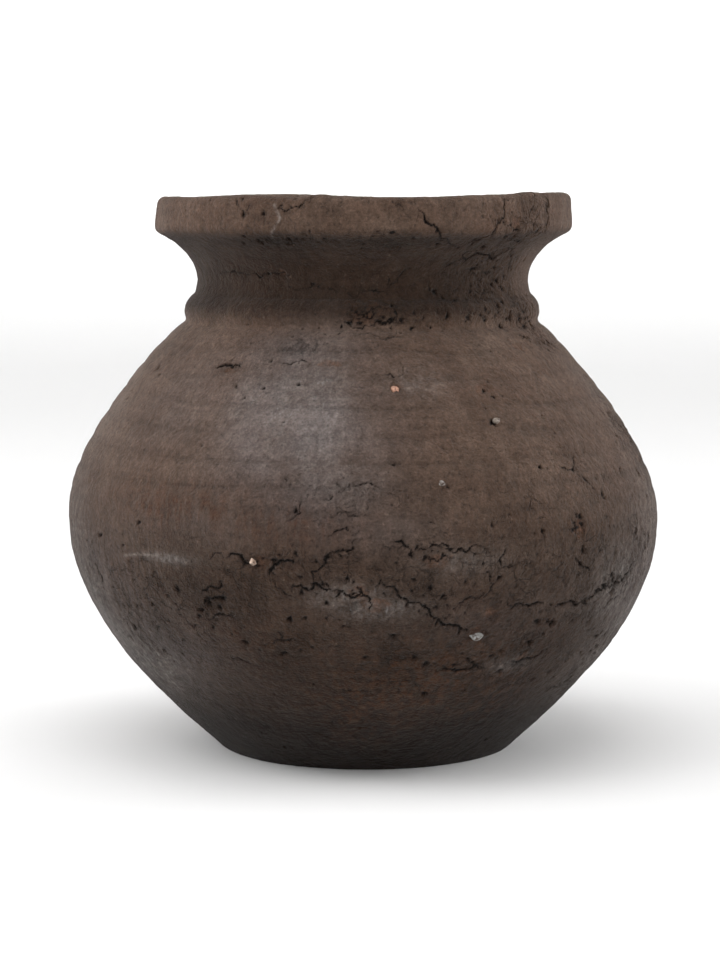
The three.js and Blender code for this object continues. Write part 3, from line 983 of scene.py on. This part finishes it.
def section_piece(index):
    """The piece of one section: its outside from seam to seam, the seam above, its inside going down, and
    the seam below."""
    name = "clay_" + SECTIONS[index]
    last = len(SECTIONS) - 1
    if index == 0:
        below = cut_rings(under, len(UNDER_ROWS) - 1, 0)
        outside = cut_rings(outer, 0, OUTER_PLACES[1])
        floor = cut_rings(inner, INNER_PLACES[-2], INNER_PLACES[-1])
        rings = [Tip(below[0]), *below, *outside, *floor, Tip(floor[-1])]
        families = (["seam"] * (len(below) + 1) + ["outer"] * (len(outside) - 1)
                    + ["seam"] + ["inner"] * len(floor))
        return build_piece(name, rings, families, closed=False)
    if index == last:
        rings = cut_rings(outer, OUTER_PLACES[index], len(OUTER_ROWS) - 1)
        return build_piece(name, rings, ["outer"] * (len(rings) - 1) + ["seam"], closed=True)
    outside = cut_rings(outer, OUTER_PLACES[index], OUTER_PLACES[index + 1])
    inside = cut_rings(inner, INNER_PLACES[last - 1 - index], INNER_PLACES[last - index])
    families = ["outer"] * (len(outside) - 1) + ["seam"] + ["inner"] * (len(inside) - 1) + ["seam"]
    return build_piece(name, [*outside, *inside], families, closed=True)


# ---------------------------------------------------------------- materials

def add_node(tree, kind, inputs=(), **settings):
    """A shader node with its settings, and its inputs set or linked."""
    node = tree.nodes.new("ShaderNode" + kind)
    for key, value in settings.items():
        setattr(node, key, value)
    for key, value in dict(inputs).items():
        if isinstance(value, bpy.types.NodeSocket):
            tree.links.new(value, node.inputs[key])
        else:
            node.inputs[key].default_value = value
    return node


class Paint:
    """Short calls for the nodes that the clay and the grit share."""

    def __init__(self, name):
        self.material = bpy.data.materials.new(name)
        self.material.use_nodes = True
        self.tree = self.material.node_tree
        self.tree.nodes.clear()
        self.place = add_node(self.tree, "TexCoord").outputs["Object"]

    def stretched(self, x, y, z):
        return add_node(self.tree, "Mapping", {"Vector": self.place, "Scale": (x, y, z)}).outputs[0]

    def grain(self, scale, detail=4.0, rough=0.55, place=None):
        inputs = {"Vector": place or self.place, "Scale": scale, "Detail": detail, "Roughness": rough}
        return add_node(self.tree, "TexNoise", inputs).outputs["Fac"]

    def mark(self, name):
        return add_node(self.tree, "Attribute", attribute_name=name).outputs["Fac"]

    def ramp(self, value, low, high, start=0.0, end=1.0):
        inputs = {"Value": value, "From Min": low, "From Max": high, "To Min": start, "To Max": end}
        return add_node(self.tree, "MapRange", inputs, clamp=True).outputs["Result"]

    def maths(self, operation, a, b):
        return add_node(self.tree, "Math", {0: a, 1: b}, operation=operation).outputs[0]

    def product(self, value, *others):
        for other in others:
            value = self.maths("MULTIPLY", value, other)
        return value

    def mixed(self, share, a, b, blend="MIX"):
        inputs = {0: share, 6: a, 7: b}
        return add_node(self.tree, "Mix", inputs, data_type="RGBA", blend_type=blend).outputs[2]

    def bumped(self, height, strength, distance, below=None):
        inputs = {"Height": height, "Strength": strength, "Distance": distance}
        if below:
            inputs["Normal"] = below
        return add_node(self.tree, "Bump", inputs).outputs[0]

    def warp(self, scale, amount):
        """Half the place, moved about by noise; two of them added give a place bent at two sizes."""
        away = add_node(self.tree, "TexNoise", {"Vector": self.place, "Scale": scale}).outputs["Color"]
        centred = add_node(self.tree, "VectorMath", {0: away, 1: (0.5, 0.5, 0.5)}, operation="SUBTRACT")
        shift = {0: centred.outputs[0], "Scale": amount}
        moved = add_node(self.tree, "VectorMath", shift, operation="SCALE")
        half = add_node(self.tree, "VectorMath", {0: self.place, "Scale": 0.5}, operation="SCALE")
        return add_node(self.tree, "VectorMath", {0: moved.outputs[0], 1: half.outputs[0]}).outputs[0]

    def surface(self, inputs):
        shader = add_node(self.tree, "BsdfPrincipled", inputs)
        out = add_node(self.tree, "OutputMaterial", {"Surface": shader.outputs[0]})
        out.is_active_output = True
        return self.material


def srgb(red, green, blue):
    """A colour given in 0-255 display values, as linear light."""
    shares = [value / 255 for value in (red, green, blue)]
    return tuple(((v + 0.055) / 1.055) ** 2.4 if v > 0.04 else v / 12.92 for v in shares) + (1.0,)


# Clay colours
BROWN, PALE_BROWN, DARK_BROWN = srgb(100, 80, 68), srgb(111, 92, 80), srgb(88, 67, 55)
# greys of painted sheen, of dust with painted sheen, and of pale flecks
PAINTED_SHEEN_GREY, DUST_AND_SHEEN_GREY, FLECK_GREY = srgb(127, 118, 117), srgb(154, 148, 144), srgb(186, 184, 184)
# dark brown of painted shade and soot, and near black of painted shade in cracks
SHADE_AND_SOOT_BROWN, CRACK_SHADE = srgb(29, 18, 11), srgb(22, 15, 11)
RUST_RED, RUST_OCHRE = srgb(70, 47, 36), srgb(80, 52, 34)
SPECK_TAN, SCRATCH_TAN, FRESH_CLAY = srgb(140, 122, 108), srgb(150, 142, 136), srgb(98, 72, 58)
STUCK_CLAY = srgb(74, 58, 49)


class Clay(Paint):
    """Matte dark clay, coloured by noise and by the marks that the mesh carries."""

    def __init__(self):
        super().__init__("rough_dark_clay")
        self.mottle = self.ramp(self.grain(230, 5, 0.65), 0.3, 0.7)
        self.up_streaks = self.streaks((240, 240, 16))
        self.round_streaks = self.streaks((12, 12, 420))
        self.rough = self.mark("rough")
        self.painted_sheen = self.product(self.mark("painted_sheen"), self.ramp(self.grain(34, 4), 0.3, 0.6, 0.45, 1.0))
        self.pores = self.open_pores()
        self.hairline = self.hairline_cracks()

    def streaks(self, stretch, detail=4, rough=0.6):
        return self.ramp(self.grain(1.0, detail, rough, self.stretched(*stretch)), 0.35, 0.65)

    def open_pores(self):
        pores = self.ramp(self.grain(430, 3, 0.6), 0.33, 0.39, 1.0, 0.0)
        return self.product(pores, self.ramp(self.rough, 0, 0.8, 0.4, 1.0))

    def hairline_cracks(self):
        """A net of fine cracks, broken up by noise and kept mostly to rough clay."""
        bent = add_node(self.tree, "VectorMath", {0: self.warp(95, 0.011), 1: self.warp(330, 0.0035)})
        net = {"Vector": bent.outputs[0], "Scale": 105.0}
        cells = add_node(self.tree, "TexVoronoi", net, feature="DISTANCE_TO_EDGE")
        line = self.ramp(cells.outputs["Distance"], 0.012, 0.05, 1.0, 0.0)
        where = self.maths("ADD", self.grain(48, 3), self.product(self.rough, 0.24))
        return self.product(line, self.ramp(where, 0.64, 0.76))

    def stained_and_shaded(self):
        """The browns of the clay, under painted grey sheen, painted shade with soot, and rust."""
        broad = self.ramp(self.grain(14, 3), 0.36, 0.64)
        middle = self.ramp(self.grain(60, 5), 0.32, 0.68)
        soot_and_shade = self.mark("soot_and_shade")
        colour = self.mixed(broad, BROWN, PALE_BROWN)
        colour = self.mixed(self.product(middle, 0.5), colour, DARK_BROWN)
        # painted sheen: a grey-blue reflection of the lamps
        colour = self.mixed(self.product(self.painted_sheen, 0.8), colour, PAINTED_SHEEN_GREY)
        # painted shade towards the foot, under the rim and in the ridge grooves, with soot clouds; darker
        # inside
        colour = self.mixed(self.product(soot_and_shade, 0.8), colour, SHADE_AND_SOOT_BROWN)
        streaky = self.ramp(self.up_streaks, 0.2, 0.8, 0.0, 0.95)
        rust = self.product(self.mark("rust"), streaky, self.ramp(self.mottle, 0.1, 0.7, 0.35, 1.0))
        return self.mixed(rust, colour, self.mixed(soot_and_shade, RUST_RED, RUST_OCHRE))

    def dusted_and_sheened(self, colour):
        """Dust with painted sheen at the sides, pale flecks and specks, scratches, and the fresh clay of
        flake scars.
        """
        specks = self.ramp(self.grain(330, 5, 0.7), 0.42, 0.7, 0.25, 1.0)
        streaky = self.ramp(self.up_streaks, 0.1, 0.7, 0.55, 1.0)
        # dust, and painted sheen at the sides
        colour = self.mixed(self.product(specks, streaky, self.mark("dust_and_sheen"), 0.95), colour, DUST_AND_SHEEN_GREY)
        flecks = self.ramp(self.grain(1.0, 4, 0.65, self.stretched(330, 330, 70)), 0.56, 0.74)
        where = self.ramp(self.mark("dust_and_sheen"), 0.15, 0.8, 0.03, 0.7)
        flecks = self.product(flecks, where, self.ramp(self.grain(70, 3), 0.42, 0.6))
        colour = self.mixed(flecks, colour, FLECK_GREY)
        sand = self.ramp(self.grain(330, 3, 0.6), 0.66, 0.74)
        colour = self.mixed(self.product(sand, 0.3), colour, SPECK_TAN)
        scratch = self.product(self.mark("scratch"), self.ramp(self.mottle, 0.3, 0.8, 0.05, 0.6))
        colour = self.mixed(scratch, colour, SCRATCH_TAN)
        fresh = self.product(self.mark("chip"), self.ramp(self.mottle, 0.2, 0.8, 0.15, 0.7))
        return self.mixed(fresh, colour, FRESH_CLAY)

    def mottled(self, colour):
        """The colour made lighter and darker by noise and streaks of several sizes."""
        fine = self.ramp(self.grain(700, 5, 0.7), 0.3, 0.7)
        wide_streaks = self.streaks((75, 75, 6), 3, 0.5)
        shade = self.product(
            self.ramp(fine, 0, 1, 0.66, 1.30),
            self.ramp(self.mottle, 0, 1, 0.72, 1.23),
            self.ramp(self.up_streaks, 0, 1, 0.94, 1.05),
            self.ramp(wide_streaks, 0, 1, 0.90, 1.08),
            self.ramp(self.round_streaks, 0, 1, 0.94, 1.06),
        )
        grey = add_node(self.tree, "CombineColor", {0: shade, 1: shade, 2: shade}).outputs[0]
        return self.mixed(1.0, colour, grey, "MULTIPLY")

    def shaded_in_cracks(self, colour):
        """The colour with painted shade in cracks, pits, pores and hairlines."""
        cracks = self.ramp(self.mark("crack_shade"), 0.06, 0.55)
        dark = self.maths("MAXIMUM", cracks, self.product(self.pores, 0.6))
        dark = self.maths("MAXIMUM", dark, self.product(self.hairline, 0.45))
        return self.mixed(dark, colour, CRACK_SHADE)

    def texture(self):
        """Bumps too fine for the mesh; distances are in metres."""
        bumps = self.bumped(self.grain(820, 5, 0.7), 0.9, 0.0016)
        bumps = self.bumped(self.mottle, self.ramp(self.rough, 0, 1, 0.45, 1.0), 0.002, bumps)
        sunk = self.product(self.maths("MAXIMUM", self.pores, self.hairline), -1.0)
        bumps = self.bumped(sunk, 0.9, 0.0009, bumps)
        return self.bumped(self.maths("ADD", self.up_streaks, self.round_streaks), 0.15, 0.0004, bumps)

    def finished(self):
        gloss = self.ramp(self.grain(90, 4), 0.3, 0.7, 0.72, 0.9)
        gloss = self.maths("SUBTRACT", gloss, self.product(self.painted_sheen, 0.22))
        return self.surface({
            "Base Color": self.shaded_in_cracks(self.mottled(self.dusted_and_sheened(self.stained_and_shaded()))),
            "Roughness": gloss, "Normal": self.texture(),
            "Specular IOR Level": 0.06, "Sheen Weight": 0.11, "Sheen Roughness": 0.3,
        })


def grit_material(name, light, dark):
    """Broken stone with darker veins and clay stuck to it."""
    p = Paint(name)
    colour = p.mixed(p.ramp(p.grain(420, 5, 0.7), 0.35, 0.65), dark, light)
    colour = p.mixed(p.ramp(p.grain(380, 4, 0.7), 0.50, 0.60), colour, STUCK_CLAY)
    return p.surface({
        "Base Color": colour, "Roughness": p.ramp(p.grain(900, 3), 0.3, 0.7, 0.3, 0.6),
        "Normal": p.bumped(p.grain(1500, 4), 0.5, 0.0004), "Specular IOR Level": 0.5,
    })


# ---------------------------------------------------------------- grains of grit

# The light and the dark colour of each grain
GRIT_COLOURS = {
    "grain_quartz": (srgb(182, 184, 182), srgb(104, 98, 94)),
    "grain_pale": (srgb(226, 204, 186), srgb(170, 140, 120)),
    "grain_pink": (srgb(214, 168, 144), srgb(160, 112, 90)),
    "grain_grey": (srgb(150, 144, 140), srgb(96, 88, 82)),
    "grain_flint": (srgb(170, 160, 150), srgb(110, 98, 88)),
}


def skin_point(angle, height):
    """The finished outer surface at an angle and height: the point and its outward direction."""
    column = round(math.radians(angle) / (2 * math.pi) * FINE_COLUMNS) % FINE_COLUMNS
    row = np.searchsorted(outer.rows, along_height(height))
    near = np.s_[max(row - 3, 0):row + 4]
    return outer.points[near, column].mean(axis=0), outer.normals[near, column].mean(axis=0)


GRAIN_ROWS = 24
GRAIN_PLANES = 22  # flat sides cut on each grain
GRAIN_DEPTH = 0.25  # how deep the middle of a grain lies, as a share of its smallest half size


def broken_stone(draw):
    """Points of a stone about one unit in radius, in rows from pole to pole, cut flat on many sides."""
    turns, rises = np.meshgrid(np.arange(2 * GRAIN_ROWS) / (2 * GRAIN_ROWS) * 2 * math.pi,
                               np.linspace(-1, 1, GRAIN_ROWS) * (math.pi / 2 - 0.03))
    level = np.cos(rises)
    ways = np.stack([level * np.cos(turns), level * np.sin(turns), np.sin(rises)], axis=-1)
    planes = draw.normal(size=(GRAIN_PLANES, 3))
    planes /= np.linalg.norm(planes, axis=1, keepdims=True)
    depths = draw.uniform(0.72, 1.0, GRAIN_PLANES)
    reach = np.minimum((depths / np.maximum(ways @ planes.T, 1e-3)).min(axis=-1), 1.15)
    reach += 0.02 * noise((ways * 9).astype(np.float32), 1.3, 5)
    return ways * reach[..., None]


def ball_faces(rows, wide):
    """Faces that close rows of points, and a point at each pole after them, into a ball."""
    faces = []
    for row in range(rows - 1):
        low, high = row * wide, (row + 1) * wide
        for column in range(wide):
            after = (column + 1) % wide
            faces.append((low + column, low + after, high + after, high + column))
    top, south = (rows - 1) * wide, rows * wide
    faces += [((column + 1) % wide, column, south) for column in range(wide)]
    faces += [(top + column, top + (column + 1) % wide, south + 1) for column in range(wide)]
    return faces


def grain_piece(name):
    """A broken grain with flat faces, set into the skin where the CAD grain sits."""
    low, high = (np.array(corner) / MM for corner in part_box(name))
    middle, size = (low + high) / 2, (high - low) / 2
    points = broken_stone(np.random.default_rng(SEED + 100 + GRAINS.index(name))) * size
    skin, outward = skin_point(math.degrees(math.atan2(middle[0], -middle[1])), middle[2])
    points = points + skin - outward * size.min() * GRAIN_DEPTH
    poles = np.array([points[0].mean(axis=0), points[-1].mean(axis=0)])
    corners = np.concatenate([points.reshape(-1, 3), poles]) * MM
    stone = bpy.data.meshes.new(name)
    stone.from_pydata(corners.tolist(), [], ball_faces(GRAIN_ROWS, 2 * GRAIN_ROWS))
    return placed(name.replace("grain_", "grit_"), stone)


# ---------------------------------------------------------------- putting the pot together

def slot_of(node):
    """The material slot that the record gives a CAD node."""
    subparts = frame["record"]["subparts"]
    return next(part["material_slot"] for part in subparts if part["node"] == node)


def stand_in(piece, node, material):
    """Puts a finished piece in the place of its CAD node."""
    piece.data.materials.append(material)
    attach(piece, "root")
    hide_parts(node)
    slot_of(node)


clay = Clay().finished()
for number, section in enumerate(SECTIONS):
    stand_in(section_piece(number), section, clay)
for grain in GRAINS:
    stand_in(grain_piece(grain), grain, grit_material("grit_" + grain, *GRIT_COLOURS[grain]))


# ---------------------------------------------------------------- stage, light and camera

STAGE_RADIUS = 3.4
STAGE_BEND = 0.9
STAGE_HEIGHT = 3.0
STAGE_SIDES = 96
STAGE_COLOUR = (0.85, 0.85, 0.85, 1)
ROOM_COLOUR = (1.0, 0.99, 0.98, 1)
GLOW_BEHIND = 0.62  # the wall behind the pot is lit, as in the photo
GLOW_IN_FRONT = 0.3


def stage_mesh():
    """A round floor that curves up into a wall all round."""
    bend = [(STAGE_RADIUS + STAGE_BEND * math.sin(t), STAGE_BEND * (1 - math.cos(t)))
            for t in np.linspace(0, math.pi / 2, 16)]
    outline = [(0.4, 0.0), (1.5, 0.0), *bend, (STAGE_RADIUS + STAGE_BEND, STAGE_HEIGHT)]
    angles = [2 * math.pi * i / STAGE_SIDES for i in range(STAGE_SIDES)]
    points = [(0.0, 0.0, 0.0)]
    points += [(r * math.cos(a), r * math.sin(a), z) for r, z in outline for a in angles]
    faces = []
    for i in range(STAGE_SIDES):
        after = (i + 1) % STAGE_SIDES
        faces.append((0, 1 + i, 1 + after))
        for first in range(1, 1 + (len(outline) - 1) * STAGE_SIDES, STAGE_SIDES):
            above = first + STAGE_SIDES
            faces.append((first + i, above + i, above + after, first + after))
    mesh = bpy.data.meshes.new("stage")
    mesh.from_pydata(points, [], faces)
    mesh.polygons.foreach_set("use_smooth", [True] * len(faces))
    return mesh


def pale_paper():
    """White paper whose wall glows with painted light, more so behind the pot."""
    p = Paint("pale_paper")
    place = add_node(p.tree, "SeparateXYZ", {"Vector": p.place}).outputs
    far_side = p.ramp(place["Y"], -1.0, 1.5, GLOW_IN_FRONT, GLOW_BEHIND)
    return p.surface({
        "Base Color": STAGE_COLOUR, "Roughness": 0.9, "Emission Color": (1, 1, 1, 1),
        "Emission Strength": p.product(far_side, p.ramp(place["Z"], 0.0, 0.5)),
    })


def pale_stage():
    stage = placed("stage", stage_mesh())
    stage.data.materials.append(pale_paper())


def soft_light(name, place, target, size, power):
    """A large lamp turned towards its target."""
    data = bpy.data.lights.new(name, "AREA")
    data.shape, data.size, data.size_y = "RECTANGLE", *size
    data.energy = power
    lamp = placed(name, data)
    lamp.location = place
    way = lamp.location - type(lamp.location)(target)
    lamp.rotation_mode = "QUATERNION"
    lamp.rotation_quaternion = way.to_track_quat("Z", "Y")


def room_light(strength):
    """Even light from all round."""
    world = bpy.data.worlds.new("studio")
    world.use_nodes = True
    background = world.node_tree.nodes["Background"].inputs
    background["Color"].default_value = ROOM_COLOUR
    background["Strength"].default_value = strength
    bpy.context.scene.world = world


CAMERA_DISTANCE = 1.56
CAMERA_SIDE = -0.0018
CAMERA_TILT = 6.2  # degrees downward, from the height of the rim
CAMERA_LENS = 97.6
CAMERA_SENSOR = 36.0


def place_camera():
    """The photograph's point of view: level with the rim, looking slightly down."""
    data = bpy.data.cameras.new("camera")
    data.sensor_width, data.lens = CAMERA_SENSOR, CAMERA_LENS
    camera = placed("camera", data)
    camera.location = (CAMERA_SIDE, -CAMERA_DISTANCE, HEIGHT * MM)
    camera.rotation_euler = (math.radians(90 - CAMERA_TILT), 0, 0)
    bpy.context.scene.camera = camera


ROOM_LIGHT = 0.39
POT_MIDDLE = (0, 0, 0.17)

# Name, place, size and power
LAMPS = (
    ("key", (-1.7, -0.9, 2.4), (1.4, 1.4), 20),
    ("top", (0.0, -0.7, 2.8), (2.4, 2.4), 36),
    ("left_side", (-2.3, 0.5, 0.8), (1.2, 1.6), 24),
    ("right_side", (2.3, 0.5, 0.8), (1.2, 1.6), 28),
)

pale_stage()
room_light(ROOM_LIGHT)
for lamp_name, lamp_place, lamp_size, lamp_power in LAMPS:
    soft_light(lamp_name, lamp_place, POT_MIDDLE, lamp_size, lamp_power)
place_camera()
bpy.context.scene.view_settings.view_transform = "Standard"
